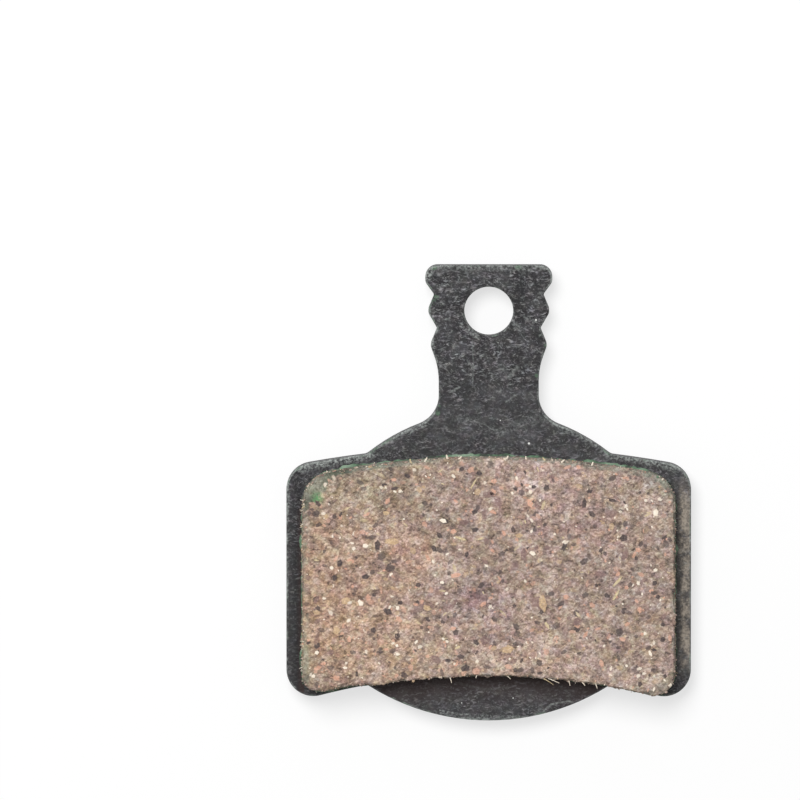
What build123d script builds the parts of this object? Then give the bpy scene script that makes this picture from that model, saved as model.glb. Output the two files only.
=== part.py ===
from build123d import *
import os
from math import radians, sqrt, tan

# Bicycle disc brake pad: a blanked steel backing plate with a moulded friction lining bonded to it.
# Millimetres. The origin is the centre of the retaining hole in the plate's back face. +Y runs up the tab,
# away from the rotor's axis, and +Z points from the plate to the rotor.

# Plate stock and its edges
plate_thickness = 2.0
edge_roll = 0.2  # rounding that the blanking die leaves on the lining side
edge_break = 0.1  # broken edge on the back
hole_break = 0.1  # broken edge of the hole on the lining side

# Retaining hole and the tab round it
hole_d = 4.0
ear_width = 10.35
ear_corner_r = 1.0
lobe_pitch = 2.75  # the middle lobes are level with the hole, the ears and the lower lobes a pitch away
lobe_step = 0.235  # how far each lobe stands inside the one above it
lobe_r = 0.75
notch_depth = 0.59
notch_r = 0.3
neck_width = 8.15
neck_run = 1.9  # from the lower lobes down to the neck
neck_blend_r = 6.0

# Plate's body, between an upper and a lower arc
body_width = 33.0
body_top = 11.1  # hole centre to the crown of the body's upper arc
body_height = 18.55
body_top_r = 83.0
body_bottom_r = 55.0
body_corner_r = 2.2

# Shoulders that carry the tab, and the round lobe that the piston bears on below the body
shoulder_rise = 2.9
shoulder_r = 15.9
shoulder_notch_r = 0.8
foot_r = 2.5
piston_lobe_drop = 3.8
piston_lobe_r = 18.3
piston_notch_r = 0.5

# Friction lining, measured at its friction face, and the bonding film under it
lining_thickness = 1.9
lining_side_margin = 1.35
lining_top_margin = 0.78
lining_bottom_margin = 0.02  # the lining runs down to the plate's lower edge
lining_top_r = 70.0
lining_top_corner_r = 2.6
lining_bottom_r = 56.0
lining_bottom_corner_r = 1.7
lining_draft = 2.0  # degrees, mould release
lining_edge_r = 0.15
film_thickness = 0.1
film_squeeze = 0.1  # how far the film shows round the lining's foot

# Places that follow from the sizes above
tab_end = lobe_pitch + ear_corner_r
neck_y = -lobe_pitch - neck_run
body_bottom = body_top + body_height
shoulder_y = shoulder_rise - body_top - shoulder_r
piston_lobe_y = piston_lobe_r - piston_lobe_drop - body_bottom
film_top = plate_thickness + film_thickness
lining_spread = lining_thickness * tan(radians(lining_draft))


def circles_cross(y_a, r_a, y_b, r_b):
    """Right-hand point where two circles with their centres on the Y axis cross."""
    y = (r_a**2 - r_b**2 - y_a**2 + y_b**2) / (2 * (y_b - y_a))
    return sqrt(r_a**2 - (y - y_a) ** 2), y


def arched_band(width, top, top_r, top_corner_r, bottom, bottom_r, bottom_corner_r):
    """Outline between an upper and a lower arc, each given by its crown below the hole and its radius."""
    with BuildSketch() as band:
        with Locations((0, -bottom - bottom_r)):
            Rectangle(width, bottom + bottom_r - top, align=(Align.CENTER, Align.MIN))
            Circle(bottom_r, mode=Mode.SUBTRACT)
        with Locations((0, -top - top_r)):
            Circle(top_r, mode=Mode.INTERSECT)
        fillet(band.vertices().group_by(Axis.Y)[-1], top_corner_r)
        fillet(band.vertices().group_by(Axis.Y)[0], bottom_corner_r)
    return band.sketch


def lining_outline(spread):
    """The lining's outline, grown all round from its friction face."""
    return arched_band(
        body_width - 2 * lining_side_margin + 2 * spread,
        body_top + lining_top_margin - spread,
        lining_top_r + spread,
        lining_top_corner_r + spread,
        body_bottom - lining_bottom_margin + spread,
        lining_bottom_r - spread,
        lining_bottom_corner_r + spread,
    )


def tab_outline():
    """Tab with ears and two pairs of lobes under them, run down into the shoulders."""
    flank = sqrt(1 + (2 * notch_depth / lobe_pitch) ** 2)
    lobe_gain = lobe_r * (flank - 1)  # from a rounded lobe out to its sharp corner
    notch_gain = notch_r * (flank - 1)
    corners = [
        (ear_width / 2, tab_end, ear_corner_r),
        (ear_width / 2, lobe_pitch - lobe_r / 2, lobe_r),
    ]
    for row in (1, 2):
        lobe_x = ear_width / 2 - row * lobe_step
        lobe_y = lobe_pitch * (1 - row)
        corners += [
            (lobe_x + lobe_step / 2 - notch_depth - notch_gain, lobe_y + lobe_pitch / 2, notch_r),
            (lobe_x + lobe_gain, lobe_y, lobe_r),
        ]
    corners.append((neck_width / 2, neck_y, neck_blend_r))
    with BuildSketch() as tab:
        with BuildLine():
            FilletPolyline(
                (0, tab_end),
                *[(x, y) for x, y, _ in corners],
                (neck_width / 2, shoulder_y),
                radius=[corner_r for _, _, corner_r in corners],
            )
            Line((neck_width / 2, shoulder_y), (0, shoulder_y))
            mirror(about=Plane.YZ)
        make_face()
    return tab.sketch


def plate_outline():
    """The plate's outline: shoulders and piston lobe, body and tab, with the corners between them eased."""
    with BuildSketch() as outline:
        with Locations((0, shoulder_y)):
            Circle(shoulder_r)
            Rectangle(body_width, 2 * shoulder_r, mode=Mode.INTERSECT)
        with Locations((0, piston_lobe_y)):
            Circle(piston_lobe_r, mode=Mode.INTERSECT)
        add(
            arched_band(
                body_width, body_top, body_top_r, body_corner_r, body_bottom, body_bottom_r, body_corner_r
            )
        )
        add(tab_outline())
        foot = (neck_width / 2, shoulder_y + sqrt(shoulder_r**2 - (neck_width / 2) ** 2))
        shoulder_notch = circles_cross(shoulder_y, shoulder_r, -body_top - body_top_r, body_top_r)
        piston_notch = circles_cross(piston_lobe_y, piston_lobe_r, -body_bottom - body_bottom_r, body_bottom_r)
        for (x, y), corner_r in (
            (foot, foot_r),
            (shoulder_notch, shoulder_notch_r),
            (piston_notch, piston_notch_r),
        ):
            fillet([outline.vertices().sort_by_distance((side * x, y))[0] for side in (1, -1)], corner_r)
    return outline.sketch


with BuildPart() as backing_plate:
    with BuildSketch():
        add(plate_outline())
    extrude(amount=plate_thickness)
    fillet(backing_plate.faces().sort_by(Axis.Z)[-1].edges(), edge_roll)
    chamfer(backing_plate.faces().sort_by(Axis.Z)[0].edges(), edge_break)
    Hole(hole_d / 2)
    chamfer(backing_plate.faces().sort_by(Axis.Z)[-1].inner_wires().edges(), hole_break)

with BuildPart() as bonding_film:
    with BuildSketch(Plane.XY.offset(plate_thickness)):
        add(lining_outline(lining_spread + film_squeeze))
    extrude(amount=film_thickness)

with BuildPart() as friction_lining:
    with BuildSketch(Plane.XY.offset(film_top)):
        add(lining_outline(lining_spread))
    extrude(amount=lining_thickness, taper=lining_draft)
    fillet(friction_lining.faces().sort_by(Axis.Z)[-1].edges(), lining_edge_r)

os.makedirs("parts", exist_ok=True)

backing_plate.part.label = "backing_plate"
export_step(backing_plate.part, "parts/backing_plate.step")

bonding_film.part.label = "bonding_film"
export_step(bonding_film.part, "parts/bonding_film.step")

friction_lining.part.label = "friction_lining"
export_step(friction_lining.part, "parts/friction_lining.step")
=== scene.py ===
"""Bicycle disc brake pad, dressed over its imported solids.

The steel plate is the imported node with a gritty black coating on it. The friction lining is made again from
its node as a dense block with pits, a ragged rim and worn corners. Grains are set in its face and its sides,
and fibres and crumbs stand out of its rim. The bonding film under it gets an uneven edge.
"""

import logging
import math
import random
from dataclasses import dataclass
from enum import Enum
from typing import Mapping, Optional, Sequence, Union

import bmesh
import bpy
from mathutils import Matrix, Vector, noise
from mathutils.bvhtree import BVHTree
from mathutils.kdtree import KDTree


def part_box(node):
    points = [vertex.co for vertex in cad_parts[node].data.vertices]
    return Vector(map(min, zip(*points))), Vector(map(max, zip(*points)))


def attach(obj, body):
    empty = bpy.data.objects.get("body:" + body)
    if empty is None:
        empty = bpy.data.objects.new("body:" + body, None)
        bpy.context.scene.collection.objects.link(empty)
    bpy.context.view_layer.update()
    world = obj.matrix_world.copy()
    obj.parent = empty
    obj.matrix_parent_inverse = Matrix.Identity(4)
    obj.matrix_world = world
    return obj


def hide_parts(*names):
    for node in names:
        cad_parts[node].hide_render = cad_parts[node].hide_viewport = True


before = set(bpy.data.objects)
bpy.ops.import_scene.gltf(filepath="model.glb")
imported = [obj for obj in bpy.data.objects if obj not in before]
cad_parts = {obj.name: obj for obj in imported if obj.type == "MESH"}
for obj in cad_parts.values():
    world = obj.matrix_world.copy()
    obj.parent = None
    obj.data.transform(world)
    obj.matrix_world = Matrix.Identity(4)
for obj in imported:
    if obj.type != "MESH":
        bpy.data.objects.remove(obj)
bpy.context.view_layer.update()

MM = 0.001
JOIN_GAP = 0.001 * MM
IMAGE_SIDE = 800
LINING_NODE = "friction_lining"
GRAIN_MARKS = ("core", "strength")

# Arc of the lining's lower edge, by its highest point and its radius, in mm from the hole
LINING_FOOT = -29.63
LINING_FOOT_R = 56.0

Colour = tuple[float, float, float, float]
Fade = tuple[float, float]  # where a mask is 0 and where it is 1
Socket = bpy.types.NodeSocket
Value = Union[Socket, float, Sequence[float]]
Inputs = Mapping[Union[str, int], Value]

log = logging.getLogger("brake_pad")


def tone(red: float, green: float, blue: float) -> Colour:
    """Turn a screen colour into a linear one.

    Args:
        red: Red, from 0 to 255.
        green: Green, from 0 to 255.
        blue: Blue, from 0 to 255.

    Returns:
        The linear colour, opaque.
    """
    levels = [channel / 255 for channel in (red, green, blue)]
    linear = [level / 12.92 if level <= 0.04045 else ((level + 0.055) / 1.055) ** 2.4 for level in levels]
    return linear[0], linear[1], linear[2], 1.0


def smooth_step(low: float, high: float, value: float) -> float:
    """Rise from 0 at low to 1 at high, level at both ends."""
    share = min(max((value - low) / (high - low), 0.0), 1.0)
    return share * share * (3 - 2 * share)


def placed(name: str, data: bpy.types.ID) -> bpy.types.Object:
    """Put a mesh, lamp or camera in the scene.

    Args:
        name: Name of the object.
        data: What it shows.

    Returns:
        The object, at the origin.
    """
    thing = bpy.data.objects.new(name, data)
    bpy.context.scene.collection.objects.link(thing)
    return thing


def finished_mesh(name: str, shape: bmesh.types.BMesh,
                  finishes: Sequence[bpy.types.Material] = ()) -> bpy.types.Mesh:
    """Turn a bmesh into a mesh, and free it.

    Args:
        name: Name of the mesh.
        shape: The bmesh, already in place.
        finishes: Materials of the mesh, in the order of its faces' indices.

    Returns:
        The mesh.
    """
    mesh = bpy.data.meshes.new(name)
    shape.to_mesh(mesh)
    shape.free()
    for finish in finishes:
        mesh.materials.append(finish)
    return mesh


def add_piece(name: str, mesh: bpy.types.Mesh) -> bpy.types.Object:
    """Put a mesh in the scene as a piece of the pad.

    Args:
        name: Name of the piece.
        mesh: Its mesh, already in place.

    Returns:
        The piece, riding on the pad's one body.
    """
    piece = placed(name, mesh)
    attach(piece, "root")
    return piece


def merged_copy(node: str) -> bmesh.types.BMesh:
    """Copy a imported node's triangles into a bmesh and join them into one skin.

    Args:
        node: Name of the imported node.

    Returns:
        The joined copy.
    """
    skin = bmesh.new()
    skin.from_mesh(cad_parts[node].data)
    bmesh.ops.remove_doubles(skin, verts=skin.verts[:], dist=JOIN_GAP)
    return skin


def finder(places: Sequence[Vector]) -> KDTree:
    """Make a tree that finds the nearest of some places.

    Args:
        places: The places.

    Returns:
        The tree.
    """
    tree = KDTree(len(places))
    for index, place in enumerate(places):
        tree.insert(place, index)
    tree.balance()
    return tree


def paint(verts: Sequence[bmesh.types.BMVert], finish: int) -> None:
    """Give the faces round some vertices one of the mesh's materials."""
    for face in {face for vert in verts for face in vert.link_faces}:
        face.material_index = finish


class NodeSheet:
    """Node tree of one material, with short calls for the nodes that finishes share. Lengths are in mm."""

    stroke_core = 0.3

    def __init__(self, name: str) -> None:
        """Start an empty material.

        Args:
            name: Name of the material.
        """
        self.material = bpy.data.materials.new(name)
        self.material.use_nodes = True
        self.tree = self.material.node_tree
        self.tree.nodes.clear()
        coordinates = self.add("ShaderNodeTexCoord").outputs
        self.normal: Socket = coordinates["Normal"]
        self.place: Socket = self.vector("SCALE", {"Vector": coordinates["Object"], "Scale": 1 / MM})

    def add(self, kind: str, values: Optional[Inputs] = None, **settings: object) -> bpy.types.Node:
        """Add a node.

        Args:
            kind: Node type.
            values: Input name or index to the socket that feeds it or the value that it holds.
            **settings: Properties of the node.

        Returns:
            The new node.
        """
        node = self.tree.nodes.new(kind)
        for key, setting in settings.items():
            setattr(node, key, setting)
        for key, value in (values or {}).items():
            if isinstance(value, bpy.types.NodeSocket):
                self.tree.links.new(value, node.inputs[key])
            else:
                node.inputs[key].default_value = value
        return node

    def math(self, operation: str, first: Value, second: Value = 0.0, clamp: bool = False) -> Socket:
        """Combine two numbers."""
        node = self.add("ShaderNodeMath", {0: first, 1: second}, operation=operation, use_clamp=clamp)
        return node.outputs[0]

    def vector(self, operation: str, values: Inputs, output: str = "Vector") -> Socket:
        """Combine vectors into a vector, or into a number where the output is Value."""
        return self.add("ShaderNodeVectorMath", values, operation=operation).outputs[output]

    def chained(self, operation: str, values: Sequence[Value]) -> Socket:
        """Combine two or more numbers, one after the other.

        Args:
            operation: What is done with each next number.
            values: The numbers.

        Returns:
            The result.
        """
        result = values[0]
        for value in values[1:]:
            result = self.math(operation, result, value)
        return result

    def product(self, *factors: Value) -> Socket:
        """Multiply two or more numbers."""
        return self.chained("MULTIPLY", factors)

    def total(self, *terms: Value) -> Socket:
        """Add two or more numbers."""
        return self.chained("ADD", terms)

    def most(self, *values: Value) -> Socket:
        """Largest of two or more numbers."""
        return self.chained("MAXIMUM", values)

    def rest(self, share: Value) -> Socket:
        """What a share leaves of 1."""
        return self.math("SUBTRACT", 1.0, share)

    def raised(self, share: Value, gain: float, base: float) -> Socket:
        """A share times a gain, on top of a base."""
        return self.total(self.product(share, gain), base)

    def step(self, value: Value, low: float, high: float) -> Socket:
        """Rise smoothly from 0 to 1.

        Args:
            value: Number to read.
            low: Where the result is 0. It may be the larger, for a fall.
            high: Where the result is 1.

        Returns:
            The result.
        """
        falls = low > high
        node = self.add(
            "ShaderNodeMapRange",
            {"Value": value, "From Min": min(low, high), "From Max": max(low, high),
             "To Min": 1.0 if falls else 0.0, "To Max": 0.0 if falls else 1.0},
            interpolation_type="SMOOTHSTEP",
        )
        return node.outputs["Result"]

    def noise(self, scale: float, detail: float = 2.0, roughness: float = 0.5, distortion: float = 0.0,
              place: Optional[Socket] = None, output: str = "Fac") -> Socket:
        """Draw noise.

        Args:
            scale: Features to the millimetre.
            detail: How many finer layers lie on it.
            roughness: How strong those are.
            distortion: How far the noise is pushed about.
            place: Where it is read, if not at the surface's own place.
            output: Fac for one number, Color for three.

        Returns:
            The noise.
        """
        node = self.add("ShaderNodeTexNoise", {
            "Vector": place or self.place, "Scale": scale, "Detail": detail, "Roughness": roughness,
            "Distortion": distortion,
        })
        return node.outputs[output]

    def cells(self, scale: float, place: Socket) -> Socket:
        """Random colours in cells, that many to the millimetre."""
        return self.add("ShaderNodeTexVoronoi", {"Vector": place, "Scale": scale}).outputs["Color"]

    def attribute(self, name: str) -> Socket:
        """Number that the mesh carries under that name."""
        return self.add("ShaderNodeAttribute", attribute_name=name).outputs["Fac"]

    def channels(self, colour: Socket) -> bpy.types.NodeOutputs:
        """Red, green and blue of a colour as three numbers."""
        return self.add("ShaderNodeSeparateColor", {"Color": colour}).outputs

    def axes(self, vector: Socket) -> bpy.types.NodeOutputs:
        """X, Y and Z of a vector as three numbers."""
        return self.add("ShaderNodeSeparateXYZ", {"Vector": vector}).outputs

    def mix(self, share: Value, first: Value, second: Value, blend: str = "MIX") -> Socket:
        """Blend two colours, the second over the first by share."""
        node = self.add("ShaderNodeMix", {0: share, 6: first, 7: second}, data_type="RGBA", blend_type=blend)
        return node.outputs[2]

    def ramp(self, share: Socket, stops: Sequence[tuple[float, Colour]]) -> Socket:
        """Lead a number through a colour ramp.

        Args:
            share: The number.
            stops: Two or more places on the ramp, each with its colour.

        Returns:
            The colour.
        """
        node = self.add("ShaderNodeValToRGB", {"Fac": share})
        elements = node.color_ramp.elements
        while len(elements) < len(stops):
            elements.new(0.5)
        for element, (position, colour) in zip(elements, stops):
            element.position = position
            element.color = colour
        return node.outputs["Color"]

    def warped(self, scale: float, reach: float) -> Socket:
        """Push the place about by noise, so that cells and spots on it lose their even edges.

        Args:
            scale: Features of the noise to the millimetre.
            reach: How far it pushes.

        Returns:
            The new place.
        """
        push = self.vector("SUBTRACT", {0: self.noise(scale, output="Color"), 1: (0.5, 0.5, 0.5)})
        scaled = self.vector("SCALE", {"Vector": push, "Scale": reach})
        return self.vector("ADD", {0: self.place, 1: scaled})

    def drawn_out(self, turn: float, stretch: Sequence[float]) -> Socket:
        """Turn the place about Z and stretch it, so that noise on it is drawn out.

        Args:
            turn: Turn in degrees from +X.
            stretch: How many times longer the noise gets along each axis.

        Returns:
            The new place.
        """
        node = self.add("ShaderNodeMapping", {
            "Vector": self.place, "Rotation": (0.0, 0.0, math.radians(turn)), "Scale": stretch,
        }, vector_type="TEXTURE")
        return node.outputs["Vector"]

    def strands(self, turn: float, scale: float, stretch: float) -> Socket:
        """Noise drawn out into strands that run at that many degrees from +X."""
        return self.noise(scale, 2.0, 0.6, 0.5, self.drawn_out(turn, (stretch, 1.0, 1.0)))

    def ribs(self, scale: float, stretch: float) -> Socket:
        """Noise drawn out along Z, as blanking leaves it on an edge."""
        return self.noise(scale, 3.0, 0.6, 0.2, self.drawn_out(0.0, (1.0, 1.0, stretch)))

    def gap(self, centre: Value, place: Optional[Socket] = None) -> Socket:
        """Distance from a point."""
        return self.vector("DISTANCE", {0: place or self.place, 1: centre}, "Value")

    def spot(self, centre: Sequence[float], radius: float, place: Optional[Socket] = None,
             core: float = 0.6) -> Socket:
        """Mask of a round spot that fades from the core's share of the radius outwards."""
        return self.step(self.gap(centre, place), radius, core * radius)

    def stroke(self, start: Vector, end: Vector, width: float, place: Socket) -> Socket:
        """Draw a straight scratch.

        Args:
            start: One end.
            end: The other end.
            width: How far from its middle line it fades out.
            place: Where it is read.

        Returns:
            Its mask.
        """
        run = end - start
        offset = self.vector("SUBTRACT", {0: place, 1: start})
        along = self.vector("DOT_PRODUCT", {0: offset, 1: run / run.length_squared}, "Value")
        share = self.math("ADD", along, 0.0, clamp=True)
        foot = self.vector("SCALE", {0: run, "Scale": share})
        return self.step(self.gap(foot, offset), width, self.stroke_core * width)

    def bump(self, height: Socket, strength: float, depth: float) -> Socket:
        """Bumped normal from a height from 0 to 1 over that depth."""
        node = self.add("ShaderNodeBump", {"Strength": strength, "Distance": depth * MM, "Height": height})
        return node.outputs["Normal"]

    def surface(self, values: Mapping[str, Value]) -> bpy.types.Material:
        """Close the tree with a principled shader.

        Args:
            values: Inputs of the shader.

        Returns:
            The finished material.
        """
        shader = self.add("ShaderNodeBsdfPrincipled", values)
        self.add("ShaderNodeOutputMaterial", {"Surface": shader.outputs[0]})
        return self.material


@dataclass(frozen=True)
class Scratch:
    """Scratch through the coating, as points on the plate's upper face in mm from the hole."""

    points: tuple[tuple[float, float], ...]
    width: float = 0.11
    share: float = 0.3


@dataclass(frozen=True)
class Spot:
    """Spot on the plate in mm from the hole, by its centre and radius."""

    centre: tuple[float, float]
    radius: float


@dataclass
class PlateMasks:
    """Numbers over the plate's surface that the marks of its finish share."""

    sheet: NodeSheet

    def __post_init__(self) -> None:
        """Read the place and the normal, and draw the textures."""
        sheet = self.sheet
        self.upward = sheet.axes(sheet.normal)["Z"]
        self.x, self.y, self.z = (sheet.axes(sheet.place)[axis] for axis in "XYZ")
        self.ragged = sheet.warped(2.2, 0.5)
        self.grit = sheet.noise(5.2, 3.0, 0.6, 0.2)
        self.strokes = sheet.strands(6.0, 4.8, 2.1)
        self.ribs = sheet.ribs(4.5, 9.0)
        self.wall = sheet.step(sheet.math("ABSOLUTE", self.upward), 0.75, 0.4)
        self.upper = sheet.step(self.upward, 0.6, 0.95)
        self.broken_up = sheet.step(sheet.noise(4.6, 4.0, 0.7), 0.42, 0.64)
        self.flaked = sheet.raised(self.broken_up, 0.7, 0.3)


@dataclass(frozen=True)
class PlateCoating:
    """Gritty black coating on steel, worn grey along the edges, with green adhesive and lining dust on it.
    Its light flecks are partly painted glints, its upper edges carry partly painted highlight, and painted
    shade lies along the lining's foot.

    The fades are in mm from the hole, or from the upper face and the lining's foot where they say so.
    """

    dark: Colour = tone(28, 27, 29)
    # Light grey of the flecks: partly the grit's colour, partly painted glints off its bumps.
    light: Colour = tone(164, 163, 165)
    # Bare steel grey, also used as painted highlight along the upper edges.
    bare_steel_and_sheen: Colour = tone(176, 182, 178)
    adhesive: Colour = tone(92, 120, 96)
    dust: Colour = tone(177, 166, 152)
    # Dark brown of the painted shade that the lining casts on the plate.
    brown: Colour = tone(50, 34, 31)
    speck: Colour = tone(225, 226, 222)
    cast: float = 0.12
    upper_face: float = 2.0
    tab: Fade = (-8.0, -4.0)
    body: Fade = (-4.0, -8.0)
    body_haze: float = 0.034
    cloud_haze: float = 0.1
    left_margin: Fade = (-14.9, -15.4)
    left_foot: Fade = (-20.0, -26.0)
    left_edge: Fade = (-15.55, -16.1)
    left_haze: float = 0.04
    dust_start: Fade = (15.25, 15.85)
    dust_thins: Fade = (15.85, 16.3)
    dust_below: Fade = (-30.4, -27.5)
    dust_above: Fade = (-13.0, -16.5)
    dust_bend: Fade = (-19.0, -22.0)
    dust_shift: float = 0.14
    powder_start: Fade = (14.9, 15.2)
    powder_share: float = 0.09
    # Where the painted shade lies: under the lining's lower edge and beside its left side.
    brown_under_foot: Fade = (3.2, 0.1)
    brown_below: Fade = (-29.0, -29.6)
    brown_ends: Fade = (10.5, 8.5)
    brown_left: Fade = (-15.8, -15.2)
    brown_left_end: Fade = (-15.0, -15.1)
    brown_left_top: Fade = (-15.0, -17.0)
    brown_share: float = 0.68
    roll_under_face: Fade = (0.4, 0.1)
    scratches: tuple[Scratch, ...] = (
        Scratch(((-1.35, -2.4), (-1.25, -4.2), (-1.3, -5.9)), 0.08, 0.3),
        Scratch(((-1.75, -4.0), (-1.3, -4.65), (-0.95, -4.45)), 0.11, 0.36),
        Scratch(((4.5, -32.65), (5.1, -32.1), (6.5, -31.85), (7.0, -32.0), (6.0, -32.5)), 0.1, 0.58),
        Scratch(((1.6, -5.4), (2.35, -4.6)), 0.22, 0.34),
        Scratch(((-1.3, -8.9), (-0.4, -9.2), (0.5, -9.75)), 0.07, 0.32),
        Scratch(((-3.2, -6.6), (-2.4, -6.2)), 0.12, 0.42),
        Scratch(((1.4, -7.4), (2.1, -6.9)), 0.1, 0.38),
        Scratch(((-2.4, -30.4), (-0.4, -30.9), (1.6, -30.7)), 0.18, 0.2),
    )
    # Scuff marks: rubbed coating, and along the upper edges of the tab and body partly painted highlight
    # where light catches the edge.
    scuffs_and_edge_sheen: tuple[Scratch, ...] = (
        Scratch(((-4.4, 3.7), (4.4, 3.7)), 0.6, 0.34),
        Scratch(((-15.3, -12.7), (-12.5, -12.05), (-9.8, -11.7)), 0.66, 0.76),
        Scratch(((9.8, -11.7), (12.5, -12.05), (15.2, -12.7)), 0.54, 0.56),
        Scratch(((-9.2, -11.1), (-7.3, -10.15), (-5.2, -9.2)), 0.35, 0.5),
        Scratch(((5.2, -9.2), (7.3, -10.15), (9.2, -11.1)), 0.3, 0.35),
        Scratch(((-4.4, -32.95), (-2.0, -33.35), (2.4, -33.3)), 0.4, 0.4),
        Scratch(((-4.0, -32.6), (-2.6, -32.9), (0.6, -33.1)), 0.1, 0.5),
        Scratch(((-16.4, -14.0), (-16.45, -17.0)), 0.3, 0.5),
        Scratch(((-16.45, -20.0), (-16.45, -25.0)), 0.2, 0.35),
        Scratch(((-5.0, 2.6), (-4.5, 3.6)), 0.35, 0.75),
        Scratch(((-4.95, 0.2), (-4.75, -0.5)), 0.3, 0.6),
        Scratch(((-4.7, -2.2), (-4.65, -3.6)), 0.32, 0.6),
        Scratch(((-1.75, -1.5), (-0.9, -2.15)), 0.3, 0.55),
        Scratch(((2.0, -0.95), (2.5, -1.25)), 0.3, 0.35),
        Scratch(((3.0, -0.45), (3.7, -0.85)), 0.3, 0.3),
        Scratch(((-3.0, -8.6), (-1.0, -9.0), (0.8, -9.9)), 0.5, 0.13),
        Scratch(((0.9, -9.9), (3.2, -8.9), (5.6, -8.6)), 0.55, 0.14),
    )
    white_specks: tuple[Spot, ...] = (
        Spot((3.28, -10.78), 0.11), Spot((3.85, -0.7), 0.09), Spot((0.95, -8.9), 0.06),
        Spot((2.0, -31.6), 0.06), Spot((-2.2, -32.0), 0.05),
    )
    green_spots: tuple[Spot, ...] = (
        Spot((-4.5, 0.8), 0.24), Spot((-4.3, 1.15), 0.26), Spot((4.75, -2.85), 0.3), Spot((-4.1, -4.2), 0.2),
        Spot((-4.2, -8.3), 0.26), Spot((-4.1, -7.8), 0.2), Spot((3.95, -5.2), 0.24), Spot((2.4, 3.75), 0.4),
        Spot((-4.5, 3.6), 0.3), Spot((12.7, -12.0), 0.3), Spot((-9.6, -11.1), 0.6),
    )
    # Spots where the rolled edge turns light: rubbed coating, and on the upper edges painted highlight where
    # the light falls.
    rubbed_and_lit_corners: tuple[Spot, ...] = (
        Spot((-4.7, 3.3), 1.3), Spot((4.7, 3.3), 1.3), Spot((-15.6, -12.9), 2.2), Spot((-12.2, -11.9), 2.6),
        Spot((15.6, -12.9), 1.8), Spot((5.6, -9.0), 1.4), Spot((-4.9, -9.0), 1.2), Spot((0.0, -33.3), 3.5),
    )

    def marks(self, sheet: NodeSheet, marks: Sequence[Scratch]) -> Socket:
        """Draw scratches, each as strong as its own share.

        Args:
            sheet: Material that takes the nodes.
            marks: The scratches.

        Returns:
            Their mask.
        """
        wobble = sheet.warped(2.6, 0.12)
        masks = []
        for mark in marks:
            corners = [Vector((x, y, self.upper_face)) for x, y in mark.points]
            runs = [sheet.stroke(start, end, mark.width, wobble) for start, end in zip(corners, corners[1:])]
            masks.append(sheet.product(sheet.most(*runs), mark.share))
        return sheet.most(*masks)

    def spots(self, sheet: NodeSheet, spots: Sequence[Spot], place: Socket) -> Socket:
        """Mask of the spots together."""
        face = self.upper_face
        return sheet.most(*[sheet.spot((*spot.centre, face), spot.radius, place) for spot in spots])

    def flecks_and_glints(self, masks: PlateMasks) -> Socket:
        """Draw the grit's light flecks, partly painted glints off the grit's bumps, the haze over them and
        the ribs on the walls.

        Args:
            masks: The plate's surface.

        Returns:
            Share of light grey in the coating.
        """
        sheet = masks.sheet
        crossing = sheet.strands(-28.0, 5.2, 1.8)
        flecks = sheet.most(
            sheet.product(sheet.step(masks.grit, 0.53, 0.79), 0.85), sheet.step(masks.strokes, 0.52, 0.76),
            sheet.product(sheet.step(crossing, 0.54, 0.78), 0.9),
        )
        on_tab = sheet.raised(sheet.step(masks.y, *self.tab), 0.29, 0.455)
        patchy = sheet.raised(sheet.step(sheet.noise(0.9, 4.0, 0.66), 0.34, 0.66), 0.75, 0.55)
        left = sheet.step(masks.x, *self.left_margin)
        dimmed = sheet.product(left, sheet.step(masks.y, *self.left_foot), 0.5)
        flecks = sheet.product(flecks, on_tab, patchy, sheet.rest(dimmed))

        clouds = sheet.product(sheet.step(sheet.noise(0.55, 4.0, 0.7), 0.4, 0.7), self.cloud_haze)
        body = sheet.product(sheet.step(masks.y, *self.body), self.body_haze)
        edge = sheet.product(sheet.step(masks.x, *self.left_edge), self.left_haze)
        haze = sheet.total(sheet.product(sheet.total(clouds, body), sheet.rest(left)), edge)
        sheared = sheet.product(masks.wall, sheet.raised(sheet.step(masks.ribs, 0.4, 0.75), 0.3, 0.1))
        return sheet.most(sheet.total(flecks, haze), sheared)

    def scratches_and_sheen(self, masks: PlateMasks) -> Socket:
        """Draw the scratches and the scuff marks, broken up where the coating flakes; along the upper edges
        the scuff marks are partly painted highlight.

        Args:
            masks: The plate's surface.

        Returns:
            Share of bare steel and of painted highlight.
        """
        sheet = masks.sheet
        scuffed = sheet.product(self.marks(sheet, self.scuffs_and_edge_sheen), masks.broken_up)
        return sheet.most(sheet.product(self.marks(sheet, self.scratches), masks.flaked), scuffed)

    def beside_lining(self, masks: PlateMasks) -> tuple[Socket, Socket, Socket]:
        """Masks that keep the dust to the upper face and to the lining's height."""
        below, above = (masks.sheet.step(masks.y, *fade) for fade in (self.dust_below, self.dust_above))
        return below, above, masks.upper

    def dusty(self, masks: PlateMasks) -> Socket:
        """Draw the dust that has settled on the right-hand margin.

        Args:
            masks: The plate's surface.

        Returns:
            Share of dust.
        """
        sheet = masks.sheet
        settled = sheet.step(sheet.noise(0.8, 5.0, 0.72), 0.34, 0.58)
        speckled = sheet.raised(sheet.step(masks.grit, 0.38, 0.62), 0.6, 0.44)
        shift = sheet.product(sheet.step(masks.y, *self.dust_bend), self.dust_shift)
        start = sheet.step(sheet.math("SUBTRACT", masks.x, shift), *self.dust_start)
        thinned = sheet.rest(sheet.product(sheet.step(masks.x, *self.dust_thins), 0.3))
        return sheet.product(start, *self.beside_lining(masks), settled, speckled, thinned)

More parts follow.
